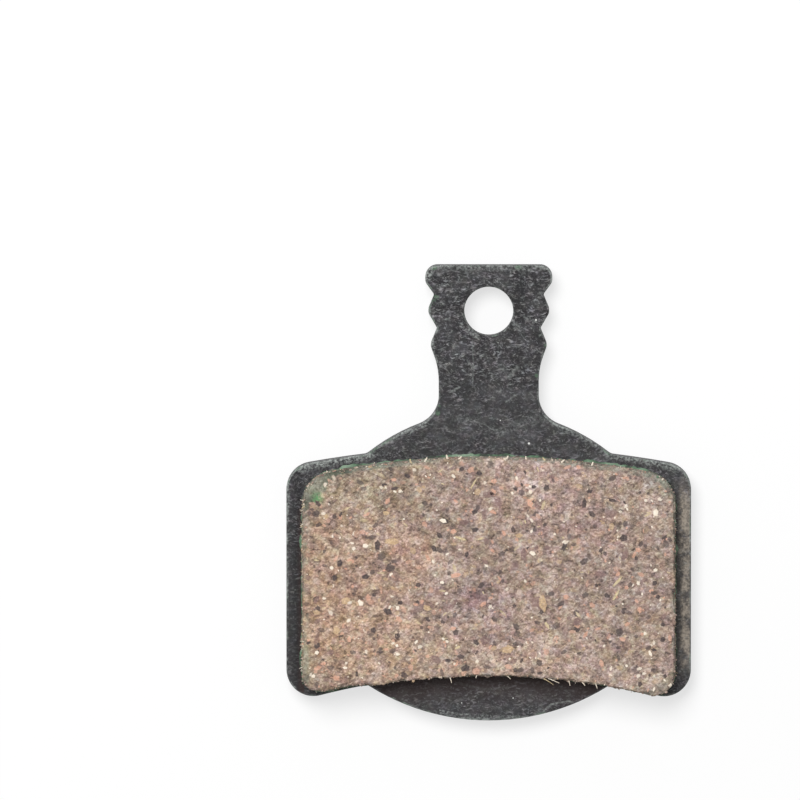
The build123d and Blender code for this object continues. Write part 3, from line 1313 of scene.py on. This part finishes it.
@dataclass
class LiningGrains:
    """Grains set in the friction face and the sides, flush but for a hair's breadth. Lengths are in mm."""

    lining: bpy.types.Object
    compound: LiningCompound
    seed: int = 11
    thickness: float = 0.08
    flatness: float = 0.15
    lumps: tuple[float, float] = (0.75, 1.15)
    proud: float = 0.012
    footing: float = 0.25
    rim: float = 0.25
    face_drop: float = 0.2
    clearance: float = 1.0
    face_crisp: float = 0.6
    wall_crisp: float = 1.2
    fade: float = 0.45
    dull_corner: Spot = Spot((-10.7, -13.5), 2.4)
    dull_share: float = 0.45
    wall_count: int = 420
    wall_shortest: float = 0.16
    wall_longest: float = 0.55
    wall_foot: float = 0.2
    wall_slope: float = 0.5
    wall_widths: tuple[float, float] = (0.5, 0.95)
    wall_strengths: tuple[float, float] = (0.6, 1.0)
    wall_mixture: tuple[tuple[Grain, int], ...] = (
        (Grain.BLACK, 6), (Grain.COPPER, 4), (Grain.WHITE, 2), (Grain.TAN, 2), (Grain.BRICK, 4),
    )
    batches: tuple[GrainBatch, ...] = (
        GrainBatch(Grain.BRICK, 80, 0.5, 1.4, 0.4, 0.9),
        GrainBatch(Grain.COPPER, 330, 0.26, 0.85, 0.35, 0.8, 0.1, 0.5),
        GrainBatch(Grain.COPPER, 198, 0.28, 0.85, 0.4, 0.9, 0.55, 1.0),
        GrainBatch(Grain.STRAW, 60, 0.4, 1.1, 0.22, 0.4),
        GrainBatch(Grain.TAN, 100, 0.3, 0.9, 0.5, 0.9, 0.2, 0.8),
        GrainBatch(Grain.BLACK, 254, 0.28, 0.85, 0.45, 0.95, 0.6),
        GrainBatch(Grain.WHITE, 179, 0.18, 0.55, 0.45, 0.9, 0.65),
    )
    set_grains: tuple[SetGrain, ...] = (
        SetGrain(Grain.TAN, -11.59, -23.54, 1.04, 0.78, 0),
        SetGrain(Grain.TAN, -12.4, -25.9, 0.72, 0.91, 0),
        SetGrain(Grain.TAN, -7.85, -18.67, 1.56, 0.65, -4),
        SetGrain(Grain.TAN, 4.4, -23.68, 1.6, 0.84, -77, lift=0.035),
        SetGrain(Grain.TAN, 1.5, -27.45, 1.3, 0.78, 8),
        SetGrain(Grain.TAN, -5.0, -24.1, 0.91, 0.65, -15),
        SetGrain(Grain.TAN, 2.5, -18.18, 0.79, 0.46, 10),
        SetGrain(Grain.TAN, -8.32, -16.35, 0.7, 0.51),
        SetGrain(Grain.WHITE, -10.42, -23.67, 0.78, 0.44, -50),
        SetGrain(Grain.WHITE, 13.62, -16.27, 0.78, 0.55, 80),
        SetGrain(Grain.WHITE, -10.3, -25.9, 0.6, 0.34, -40),
        SetGrain(Grain.WHITE, -7.46, -27.85, 0.78, 0.39, -8),
        SetGrain(Grain.WHITE, 3.6, -19.6, 0.76, 0.46, -25),
        SetGrain(Grain.WHITE, -3.7, -16.95, 0.72, 0.47, -30),
        SetGrain(Grain.WHITE, -8.72, -14.25, 0.46, 0.3, -45, 0.6),
        SetGrain(Grain.WHITE, -10.03, -18.99, 0.54, 0.46),
        SetGrain(Grain.WHITE, -12.79, -22.35, 0.64, 0.36, 45),
        SetGrain(Grain.WHITE, -12.88, -24.42, 0.87, 0.38, -65, 0.6),
        SetGrain(Grain.WHITE, -7.93, -21.36, 0.44, 0.41),
        SetGrain(Grain.WHITE, -5.88, -26.86, 0.54, 0.28, 50),
        SetGrain(Grain.WHITE, -3.78, -22.0, 0.54, 0.31),
        SetGrain(Grain.WHITE, 13.16, -27.77, 0.64, 0.31, -65),
        SetGrain(Grain.WHITE, 9.9, -29.6, 0.38, 0.36),
        SetGrain(Grain.WHITE, -14.0, -27.72, 0.46, 0.41),
        SetGrain(Grain.WHITE, -12.79, -20.82, 0.41, 0.36),
        SetGrain(Grain.COPPER, -2.6, -21.4, 1.15, 0.49, 10),
        SetGrain(Grain.COPPER, -0.44, -23.75, 0.9, 0.41, 45),
        SetGrain(Grain.COPPER, 0.24, -27.31, 0.67, 0.54),
        SetGrain(Grain.COPPER, 3.36, -15.49, 0.92, 0.51, -70),
        SetGrain(Grain.COPPER, 0.42, -13.73, 0.64, 0.46),
        SetGrain(Grain.COPPER, -2.88, -17.84, 0.64, 0.54),
        SetGrain(Grain.COPPER, -8.27, -15.4, 0.79, 0.46, 55),
        SetGrain(Grain.COPPER, 6.31, -23.2, 0.61, 0.54),
        SetGrain(Grain.COPPER, 12.18, -19.33, 0.54, 0.49),
        SetGrain(Grain.COPPER, 13.25, -22.69, 0.61, 0.41),
        SetGrain(Grain.COPPER, -2.7, -28.7, 0.54, 0.49),
        SetGrain(Grain.COPPER, 12.72, -17.75, 0.64, 0.44, 90),
        SetGrain(Grain.BRICK, 0.04, -14.85, 1.3, 0.72, 5),
        SetGrain(Grain.BRICK, -2.0, -17.1, 1.17, 0.59, 0),
        SetGrain(Grain.BLACK, 9.92, -15.25, 1.43, 0.34, -12),
        SetGrain(Grain.BLACK, 10.99, -18.35, 0.81, 0.65, 30),
        SetGrain(Grain.BLACK, 14.3, -18.5, 0.98, 0.55, 65),
        SetGrain(Grain.BLACK, 7.78, -15.5, 0.98, 0.49, 90),
        SetGrain(Grain.BLACK, 6.18, -19.03, 0.98, 0.49, 60),
        SetGrain(Grain.BLACK, -2.2, -12.75, 0.72, 0.52, 20),
        SetGrain(Grain.BLACK, 2.88, -13.05, 0.62, 0.52, 0),
        SetGrain(Grain.BLACK, -1.1, -16.2, 0.65, 0.52, 30),
        SetGrain(Grain.BLACK, -1.1, -17.7, 0.65, 0.49, 15),
        SetGrain(Grain.BLACK, -9.4, -25.9, 0.65, 0.6, 0),
        SetGrain(Grain.BLACK, -7.44, -26.4, 0.65, 0.55, 60),
        SetGrain(Grain.BLACK, -8.27, -24.35, 0.98, 0.59, -30),
        SetGrain(Grain.BLACK, -14.1, -23.4, 0.59, 0.49, 80),
        SetGrain(Grain.BLACK, -10.48, -13.86, 0.77, 0.51, -20, 0.8),
        SetGrain(Grain.BLACK, -10.17, -14.36, 0.7, 0.45, 0, 0.7),
        SetGrain(Grain.BLACK, -8.45, -14.07, 0.64, 0.51),
        SetGrain(Grain.BLACK, -7.64, -14.31, 0.83, 0.36, 10),
        SetGrain(Grain.BLACK, -6.6, -13.32, 0.7, 0.45, -20),
        SetGrain(Grain.BLACK, -9.22, -17.34, 0.7, 0.38, 40, 0.8),
        SetGrain(Grain.BLACK, -9.62, -18.29, 1.22, 0.46, 3, 0.85),
        SetGrain(Grain.BLACK, -9.04, -18.92, 1.09, 0.64, 85),
        SetGrain(Grain.BLACK, -12.11, -20.45, 0.77, 0.54, 80),
        SetGrain(Grain.BLACK, -10.03, -21.53, 0.79, 0.49, 10),
        SetGrain(Grain.BLACK, -12.52, -21.62, 0.7, 0.54, 80),
        SetGrain(Grain.BLACK, -5.71, -22.17, 0.61, 0.49),
        SetGrain(Grain.BLACK, -7.2, -23.66, 0.58, 0.49),
        SetGrain(Grain.BLACK, -8.9, -27.68, 0.7, 0.38, 0, 0.8),
        SetGrain(Grain.BLACK, -4.64, -25.87, 0.61, 0.58),
        SetGrain(Grain.BLACK, -0.75, -13.09, 0.7, 0.44, -10),
        SetGrain(Grain.BLACK, -4.03, -18.13, 0.64, 0.49, -30),
        SetGrain(Grain.BLACK, -4.43, -19.24, 0.83, 0.49, -50),
        SetGrain(Grain.BLACK, -1.79, -19.73, 0.61, 0.49, 60),
        SetGrain(Grain.BLACK, 3.27, -19.21, 0.58, 0.38),
        SetGrain(Grain.BLACK, 3.67, -14.18, 0.51, 0.46),
        SetGrain(Grain.BLACK, 2.2, -14.4, 0.64, 0.31, -25),
        SetGrain(Grain.BLACK, -2.74, -24.65, 0.64, 0.51, 80, 0.8),
        SetGrain(Grain.BLACK, 0.47, -25.0, 0.67, 0.49, -50, 0.85),
        SetGrain(Grain.BLACK, -3.28, -28.38, 0.64, 0.38, -5),
        SetGrain(Grain.BLACK, -1.88, -28.98, 1.02, 0.64, 25),
        SetGrain(Grain.BLACK, -0.08, -28.9, 0.79, 0.38, -15, 0.8),
        SetGrain(Grain.BLACK, 2.63, -29.12, 0.77, 0.46, 15, 0.8),
        SetGrain(Grain.BLACK, 12.36, -18.87, 0.67, 0.54, 60, 0.85),
        SetGrain(Grain.BLACK, 12.02, -20.0, 0.58, 0.38, -60),
        SetGrain(Grain.BLACK, 8.19, -14.57, 0.64, 0.44, 20),
        SetGrain(Grain.BLACK, 7.21, -25.85, 0.67, 0.56),
        SetGrain(Grain.BLACK, 13.54, -22.07, 0.61, 0.49, 60),
        SetGrain(Grain.BLACK, 13.78, -23.16, 0.51, 0.49),
        SetGrain(Grain.BLACK, 14.21, -26.64, 0.58, 0.51),
        SetGrain(Grain.BLACK, 13.45, -29.17, 0.79, 0.49, -5, 0.8),
        SetGrain(Grain.STRAW, -1.23, -13.95, 1.23, 0.21, 58),
        SetGrain(Grain.STRAW, 10.45, -21.96, 1.37, 0.31, 48),
        SetGrain(Grain.STRAW, 10.37, -23.05, 1.23, 0.26, 60),
        SetGrain(Grain.STRAW, 6.13, -18.12, 1.04, 0.21, 72),
        SetGrain(Grain.STRAW, -2.26, -18.4, 1.43, 0.23, -18),
        SetGrain(Grain.STRAW, -0.65, -18.42, 0.77, 0.26, 15),
        SetGrain(Grain.STRAW, -2.52, -27.31, 0.67, 0.26, 25),
        SetGrain(Grain.STRAW, 4.76, -25.49, 0.74, 0.31, -60),
        SetGrain(Grain.STRAW, 1.19, -24.5, 0.92, 0.26, -45, 0.6),
    )

    def __post_init__(self) -> None:
        """Seed the scatter and keep the lining's surface for finding heights."""
        self.dice = random.Random(self.seed)
        self.tree = BVHTree.FromObject(self.lining, bpy.context.evaluated_depsgraph_get())
        self.low, self.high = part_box(LINING_NODE)
        self.kinds = list(Grain)

    def height(self, x: float, y: float) -> Optional[float]:
        """Find the friction face at a place.

        Args:
            x: Place in mm.
            y: Place in mm.

        Returns:
            The face's height in mm, or None off the face.
        """
        start = Vector((x * MM, y * MM, self.high.z + self.clearance * MM))
        hit, _, _, _ = self.tree.ray_cast(start, Vector((0, 0, -1)))
        if hit is None or hit.z < self.high.z - self.face_drop * MM:
            return None
        return hit.z / MM

    def inside(self, x: float, y: float) -> bool:
        """Whether a place in mm is on the face and clear of its rim."""
        around = ((self.rim, 0), (-self.rim, 0), (0, self.rim), (0, -self.rim))
        return all(self.height(x + dx, y + dy) is not None for dx, dy in around)

    def set_in(self, bed: bmesh.types.BMesh, grain: SetGrain) -> None:
        """Set one grain in the face.

        Args:
            bed: Mesh that takes the grain.
            grain: The grain to set.
        """
        reach = self.footing * grain.length
        spots = ((0, 0), (reach, 0), (-reach, 0), (0, reach), (0, -reach))
        levels = [self.height(grain.x + dx, grain.y + dy) for dx, dy in spots]
        if levels[0] is None:
            return
        level = max(level for level in levels if level is not None)
        self.lay(bed, grain, Matrix.Translation((grain.x, grain.y, level + grain.lift)), self.face_crisp)

    def lay(self, bed: bmesh.types.BMesh, grain: SetGrain, ground: Matrix, crisp: float) -> None:
        """Make a grain and lay it on a spot of the lining.

        Args:
            bed: Mesh that takes the grain.
            grain: The grain to lay.
            ground: Place of the spot in mm, with +Z out of the lining.
            crisp: Share of the grain's radius inside which it doesn't fade into the compound.
        """
        verts = bmesh.ops.create_icosphere(bed, subdivisions=1, radius=0.5)["verts"]
        core, strength = (bed.verts.layers.float[name] for name in GRAIN_MARKS)
        for vert in verts:
            vert[core] = smooth_step(crisp + self.fade, crisp, 2 * vert.co.xy.length)
            vert[strength] = grain.strength
            vert.co *= self.dice.uniform(*self.lumps)
            vert.co.z = math.copysign(min(abs(vert.co.z), self.flatness), vert.co.z)
        size = Matrix.Diagonal((grain.length, grain.width, self.thickness / self.flatness, 1.0))
        turn = Matrix.Rotation(math.radians(grain.turn), 4, "Z")
        sunk = Matrix.Translation((0, 0, self.proud - self.thickness))
        bmesh.ops.transform(bed, matrix=Matrix.Scale(MM, 4) @ ground @ sunk @ turn @ size, verts=verts)
        paint(verts, self.kinds.index(grain.kind))

    def line_walls(self, bed: bmesh.types.BMesh) -> None:
        """Lay grains in the lining's sides.

        Args:
            bed: Mesh that takes the grains.
        """
        foot = self.low.z + self.wall_foot * MM
        walls = [v for v in self.lining.data.vertices if abs(v.normal.z) < self.wall_slope and v.co.z > foot]
        kinds, weights = zip(*self.wall_mixture)
        for wall in self.dice.sample(walls, self.wall_count):
            length = self.wall_shortest + (self.wall_longest - self.wall_shortest) * self.dice.random() ** 2
            width, turn = length * self.dice.uniform(*self.wall_widths), self.dice.uniform(0, 180)
            kind, strength = self.dice.choices(kinds, weights)[0], self.dice.uniform(*self.wall_strengths)
            upright = wall.normal.to_track_quat("Z", "Y").to_matrix().to_4x4()
            ground = Matrix.Translation(wall.co / MM) @ upright
            self.lay(bed, SetGrain(kind, 0, 0, length, width, turn, strength), ground, self.wall_crisp)

    def strewn(self, batch: GrainBatch) -> list[SetGrain]:
        """Strew a batch over the face.

        Args:
            batch: The batch.

        Returns:
            Its grains, at random places, sizes and turns.
        """
        grains = []
        while len(grains) < batch.count:
            x = self.dice.uniform(self.low.x, self.high.x) / MM
            y = self.dice.uniform(self.low.y, self.high.y) / MM
            if not self.inside(x, y):
                continue
            length = batch.shortest + (batch.longest - batch.shortest) * self.dice.random() ** 2
            width = length * self.dice.uniform(batch.narrowest, batch.widest)
            turn, strength = self.dice.uniform(0, 180), self.dice.uniform(batch.faintest, batch.strongest)
            if (Vector((x, y)) - Vector(self.dull_corner.centre)).length < self.dull_corner.radius:
                strength *= self.dull_share
            grains.append(SetGrain(batch.kind, x, y, length, width, turn, strength))
        return grains

    def build(self) -> bpy.types.Object:
        """Set all the grains and dress each kind in its own finish.

        Returns:
            The grains as one piece.
        """
        bed = bmesh.new()
        for name in GRAIN_MARKS:
            bed.verts.layers.float.new(name)
        for grain in self.set_grains:
            self.set_in(bed, grain)
        for batch in self.batches:
            for grain in self.strewn(batch):
                self.set_in(bed, grain)
        self.line_walls(bed)
        mesh = finished_mesh("lining_grains", bed, [kind.material(self.compound) for kind in self.kinds])
        return add_piece("lining_grains", mesh)


class RimSide(Enum):
    """Sides of the lining: weights of its crumbs' finishes, number of fibres, weights of their finishes."""

    TOP = ((10, 4, 1, 1), 20, (8, 2, 1))
    BOTTOM = ((10, 2, 1, 0), 20, (6, 3, 0))
    LEFT = ((10, 1, 0, 2), 90, (3, 2, 4))
    RIGHT = ((12, 1, 0, 1), 40, (3, 1, 3))

    @property
    def crumbs(self) -> tuple[int, ...]:
        """How often a crumb is of compound, white, tan or green."""
        return self.value[0]

    @property
    def fibre_count(self) -> int:
        """How many fibres stand out of the side."""
        return self.value[1]

    @property
    def fibres(self) -> tuple[int, ...]:
        """How often a fibre is white, straw or green."""
        return self.value[2]

    @classmethod
    def facing(cls, normal: Vector) -> "RimSide":
        """Find the side that a wall belongs to.

        Args:
            normal: The wall's normal.

        Returns:
            The side.
        """
        if abs(normal.x) > abs(normal.y):
            return cls.RIGHT if normal.x > 0 else cls.LEFT
        return cls.TOP if normal.y > 0 else cls.BOTTOM


@dataclass(frozen=True)
class RimShard:
    """Shard or fibre at a known place on the lining's rim, in mm from the hole and degrees from +X."""

    x: float
    y: float
    turn: float
    length: float = 0.3
    radius: float = 0.1


@dataclass
class RimFibres:
    """Short stiff fibres and shards that stand out of the lining's cut edges. Lengths are in mm."""

    lining: bpy.types.Object
    seed: int = 23
    shortest: float = 0.06
    longest: float = 0.2
    radius: float = 0.04
    sides: int = 5
    joints: int = 3
    taper: float = 0.78
    bend: float = 0.12
    root_depth: float = 0.08
    wall_slope: float = 0.6
    wall_foot: float = 0.3
    shard_drop: float = 0.2
    shard_rise: float = 0.15
    shard_mixture: tuple[int, int] = (4, 1)
    finishes: tuple[str, ...] = ("grain_white", "grain_straw", "adhesive_green")
    shards: tuple[RimShard, ...] = (
        RimShard(-6.38, -12.2, 120), RimShard(-5.19, -12.0, 60), RimShard(-3.34, -11.8, 100, 0.36, 0.12),
        RimShard(-2.35, -11.95, 40, 0.26), RimShard(1.45, -11.9, 70, 0.34), RimShard(3.05, -12.0, 100),
        RimShard(4.53, -12.05, 130, 0.26), RimShard(5.96, -12.2, 50), RimShard(8.46, -12.6, 80),
        RimShard(-3.2, -29.75, -60, 0.5, 0.05), RimShard(4.5, -29.9, -18, 1.0, 0.045),
        RimShard(5.0, -29.8, -22, 0.9, 0.04), RimShard(6.5, -30.0, -70, 0.4, 0.05),
        RimShard(7.7, -30.1, -50, 0.35, 0.06), RimShard(8.7, -30.25, -80, 0.35, 0.05),
        RimShard(-1.0, -29.7, -120, 0.3, 0.05), RimShard(1.6, -29.7, -40, 0.35, 0.04),
        RimShard(-15.2, -15.4, 170, 0.28, 0.04), RimShard(-15.15, -15.75, 205, 0.22, 0.05),
        RimShard(-15.2, -16.1, 185, 0.24, 0.035), RimShard(-15.2, -17.2, 215, 0.26, 0.035),
        RimShard(-15.2, -17.5, 160, 0.2, 0.04), RimShard(-15.2, -26.85, 172, 0.32, 0.03),
        RimShard(-15.2, -27.1, 200, 0.24, 0.03), RimShard(-15.2, -27.6, 155, 0.22, 0.03),
        RimShard(-15.2, -28.3, 190, 0.22, 0.03), RimShard(-15.2, -28.9, 205, 0.24, 0.035),
    )

    def grow(self, brush: bmesh.types.BMesh, root: Vector, heading: Vector, shard: RimShard, finish: int,
             dice: random.Random) -> None:
        """Grow one bent, tapering fibre.

        Args:
            brush: Mesh that takes the fibre.
            root: Where it leaves the lining, in metres.
            heading: Unit vector that it sets out along.
            shard: Its length and radius.
            finish: Which of the finishes it takes.
            dice: Source of its bend.
        """
        core, strength = (brush.verts.layers.float[name] for name in GRAIN_MARKS)
        buried = Matrix.Translation(root - heading * self.root_depth * MM)
        buried @= heading.to_track_quat("Z", "Y").to_matrix().to_4x4()
        ring = bmesh.ops.create_circle(
            brush, cap_ends=True, segments=self.sides, radius=shard.radius * MM, matrix=buried)
        tip = ring["verts"][0].link_faces[0]
        tip.material_index = finish
        for vert in tip.verts:
            vert[core] = vert[strength] = 1.0
        bend = Vector((dice.uniform(-1, 1), dice.uniform(-1, 1), dice.uniform(-0.6, 0.4))) * self.bend
        run = (shard.length + self.root_depth) * MM / self.joints
        for _ in range(self.joints):
            tip = bmesh.ops.extrude_discrete_faces(brush, faces=[tip])["faces"][0]
            heading = (heading + bend).normalized()
            middle = tip.calc_center_median()
            shrink = Matrix.Translation(middle) @ Matrix.Scale(self.taper, 4) @ Matrix.Translation(-middle)
            bmesh.ops.transform(brush, matrix=shrink, verts=tip.verts[:])
            bmesh.ops.translate(brush, vec=heading * run, verts=tip.verts[:])

    def strewn(self, root: bpy.types.MeshVertex, dice: random.Random) -> tuple[Vector, RimShard]:
        """Draw a fibre for a root at random.

        Args:
            root: Vertex of the lining that it grows from.
            dice: Source of its heading, length and radius.

        Returns:
            Its heading and its sizes.
        """
        lean = Vector((dice.uniform(-0.7, 0.7), dice.uniform(-0.3, 0.3), dice.uniform(-0.3, 0.5)))
        length = self.shortest + (self.longest - self.shortest) * dice.random() ** 2.2
        radius = self.radius * dice.uniform(0.5, 1.1)
        return (root.normal + lean).normalized(), RimShard(root.co.x / MM, root.co.y / MM, 0, length, radius)

    def build(self) -> bpy.types.Object:
        """Grow the shards at their places and fibres all round the lining.

        Returns:
            The fibres as one piece.
        """
        dice = random.Random(self.seed)
        low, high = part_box(LINING_NODE)
        foot = low.z + self.wall_foot * MM
        walls = [v for v in self.lining.data.vertices if abs(v.normal.z) < self.wall_slope and foot < v.co.z]
        rim = finder([vert.co for vert in walls])
        brush = bmesh.new()
        for name in GRAIN_MARKS:
            brush.verts.layers.float.new(name)
        for shard in self.shards:
            root, _, _ = rim.find(Vector((shard.x * MM, shard.y * MM, high.z - self.shard_drop * MM)))
            turn = math.radians(shard.turn)
            heading = Vector((math.cos(turn), math.sin(turn), self.shard_rise)).normalized()
            self.grow(brush, root, heading, shard, dice.choices((0, 1), self.shard_mixture)[0], dice)
        for side in RimSide:
            roots = [vert for vert in walls if RimSide.facing(vert.normal) is side]
            for root in dice.sample(roots, side.fibre_count):
                heading, shard = self.strewn(root, dice)
                finish = dice.choices(range(len(self.finishes)), side.fibres)[0]
                self.grow(brush, root.co.copy(), heading, shard, finish, dice)
        bmesh.ops.holes_fill(brush, edges=[edge for edge in brush.edges if edge.is_boundary], sides=0)
        bmesh.ops.recalc_face_normals(brush, faces=brush.faces[:])
        mesh = finished_mesh("lining_rim_fibres", brush, [bpy.data.materials[name] for name in self.finishes])
        return add_piece("lining_rim_fibres", mesh)


@dataclass
class RimCrumbs:
    """Crumbs of compound and adhesive that cling to the lining's cut edges. Lengths are in mm."""

    lining: bpy.types.Object
    seed: int = 31
    count: int = 520
    smallest: float = 0.035
    largest: float = 0.12
    lumps: tuple[float, float] = (0.5, 1.3)
    crusts: tuple[float, float] = (0.2, 1.0)
    strength: float = 0.7
    stand_out: float = 0.2
    wall_slope: float = 0.75
    reach_down: float = 0.8
    finishes: tuple[str, ...] = ("lining_compound", "grain_white", "grain_tan", "adhesive_green")

    def build(self) -> bpy.types.Object:
        """Stick the crumbs to the walls near the friction face.

        Returns:
            The crumbs as one piece.
        """
        dice = random.Random(self.seed)
        _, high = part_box(LINING_NODE)
        lowest = high.z - self.reach_down * MM
        verts = self.lining.data.vertices
        walls = [v for v in verts if abs(v.normal.z) < self.wall_slope and v.co.z > lowest]
        heap = bmesh.new()
        skin, strength, core = (heap.verts.layers.float.new(name) for name in ("skin", "strength", "core"))
        for wall in dice.sample(walls, self.count):
            radius = (self.smallest + (self.largest - self.smallest) * dice.random() ** 2) * MM
            verts = bmesh.ops.create_icosphere(heap, subdivisions=1, radius=radius)["verts"]
            crusted = dice.uniform(*self.crusts)
            for vert in verts:
                vert.co *= dice.uniform(*self.lumps)
                vert[skin], vert[strength], vert[core] = crusted, self.strength, 1.0
            bmesh.ops.translate(heap, vec=wall.co + wall.normal * self.stand_out * radius, verts=verts)
            paint(verts, dice.choices(range(len(self.finishes)), RimSide.facing(wall.normal).crumbs)[0])
        mesh = finished_mesh("lining_rim_crumbs", heap, [bpy.data.materials[name] for name in self.finishes])
        return add_piece("lining_rim_crumbs", mesh)


@dataclass
class Studio:
    """Pale floor, soft light from the upper left, and a camera nearly straight above the pad."""

    middle: tuple[float, float, float] = (-7.23, -7.24, 2.0)
    pixels_per_mm: float = 12.27
    tilt_right: float = 0.5
    tilt_up: float = 3.5
    camera_distance: float = 1.2
    clip_start: float = 0.01
    sensor: float = 36.0
    floor_side: float = 3.0
    floor_white: float = 0.68
    floor_gap: float = 0.05
    ambient: float = 0.28
    key_direction: tuple[float, float, float] = (-0.24, 0.46, 1.0)
    key_distance: float = 0.6
    key_side: float = 0.36
    key_power: float = 3.3

    def aimed(self, direction: Vector, distance: float) -> Matrix:
        """Place a lamp or camera looking at the image's middle, with +Y up in its view.

        Args:
            direction: From the image's middle to it.
            distance: How far away it stands, in metres.

        Returns:
            Its world matrix.
        """
        back = direction.normalized()
        right = Vector((0, 1, 0)).cross(back).normalized()
        turn = Matrix((right, back.cross(right), back)).transposed().to_4x4()
        return Matrix.Translation(Vector(self.middle) * MM + back * distance) @ turn

    def camera(self) -> None:
        """Set up the camera so that the pad fills the frame as in the photograph."""
        lens = bpy.data.cameras.new("camera")
        lens.sensor_width = self.sensor
        field = IMAGE_SIDE / self.pixels_per_mm * MM
        lens.lens = self.sensor * self.camera_distance / field
        lens.clip_start = self.clip_start
        camera = placed("camera", lens)
        direction = Vector((math.tan(math.radians(self.tilt_right)), math.tan(math.radians(self.tilt_up)), 1))
        camera.matrix_world = self.aimed(direction, self.camera_distance)
        bpy.context.scene.camera = camera

    def lamp(self) -> None:
        """Hang the soft key lamp."""
        light = bpy.data.lights.new("key", "AREA")
        light.shape = "DISK"
        light.size = self.key_side
        light.energy = self.key_power
        placed("key", light).matrix_world = self.aimed(Vector(self.key_direction), self.key_distance)

    def seen(self, tree: bpy.types.NodeTree) -> Socket:
        """Tell what the camera, a reflection or clear glass sees from what only lights.

        Args:
            tree: Node tree that takes the nodes.

        Returns:
            A number that is 1 for what is seen and 0 for what lights.
        """
        rays = tree.nodes.new("ShaderNodeLightPath")
        total = rays.outputs["Is Camera Ray"]
        for name in ("Is Glossy Ray", "Is Transmission Ray"):
            either = tree.nodes.new("ShaderNodeMath")
            either.operation = "MAXIMUM"
            tree.links.new(total, either.inputs[0])
            tree.links.new(rays.outputs[name], either.inputs[1])
            total = either.outputs[0]
        return total

    def sky(self) -> None:
        """Light the scene evenly from all round, on a white background."""
        world = bpy.data.worlds.new("studio")
        world.use_nodes = True
        tree = world.node_tree
        span = tree.nodes.new("ShaderNodeMapRange")
        span.inputs["To Min"].default_value = self.ambient
        span.inputs["To Max"].default_value = 1.0
        tree.links.new(self.seen(tree), span.inputs["Value"])
        background = tree.nodes["Background"]
        background.inputs["Color"].default_value = (1, 1, 1, 1)
        tree.links.new(span.outputs["Result"], background.inputs["Strength"])
        bpy.context.scene.world = world

    def floor(self) -> None:
        """Lay a white floor that takes the pad's shadow and lets views from below through."""
        plane = bmesh.new()
        bmesh.ops.create_grid(plane, x_segments=1, y_segments=1, size=self.floor_side / 2,
                              matrix=Matrix.Translation((0, 0, -self.floor_gap * MM)))
        sheet = NodeSheet("floor_white")
        shade = 1 - self.floor_white
        matt = sheet.add("ShaderNodeBsdfDiffuse", {"Color": (shade, shade, shade, 1)})
        lift = sheet.product(self.seen(sheet.tree), self.floor_white)
        glow = sheet.add("ShaderNodeEmission", {"Color": (1, 1, 1, 1), "Strength": lift})
        white = sheet.add("ShaderNodeAddShader", {0: matt.outputs[0], 1: glow.outputs[0]})
        clear = sheet.add("ShaderNodeBsdfTransparent")
        below = sheet.add("ShaderNodeNewGeometry").outputs["Backfacing"]
        both = sheet.add("ShaderNodeMixShader", {0: below, 1: white.outputs[0], 2: clear.outputs[0]})
        sheet.add("ShaderNodeOutputMaterial", {"Surface": both.outputs[0]})

        floor = placed("floor", finished_mesh("floor", plane, [sheet.material]))
        floor.visible_diffuse = False

    def build(self) -> None:
        """Set up camera, light, background and floor."""
        bpy.context.scene.view_settings.view_transform = "Standard"
        self.camera()
        self.lamp()
        self.sky()
        self.floor()


def main() -> None:
    """Build the pad's pieces and the studio in order, and log each piece's face count."""
    logging.basicConfig(level=logging.INFO, format="%(name)s: %(message)s")
    plate = BackingPlate().build()
    film = BondingFilm().build()
    compound = LiningCompound()
    lining = FrictionLining(compound).build()
    grains = LiningGrains(lining, compound).build()
    fibres = RimFibres(lining).build()
    crumbs = RimCrumbs(lining).build()
    for piece in (plate, film, lining, grains, fibres, crumbs):
        log.info("%s: %d faces", piece.name, len(piece.data.polygons))
    Studio().build()


if __name__ == "__main__":
    main()
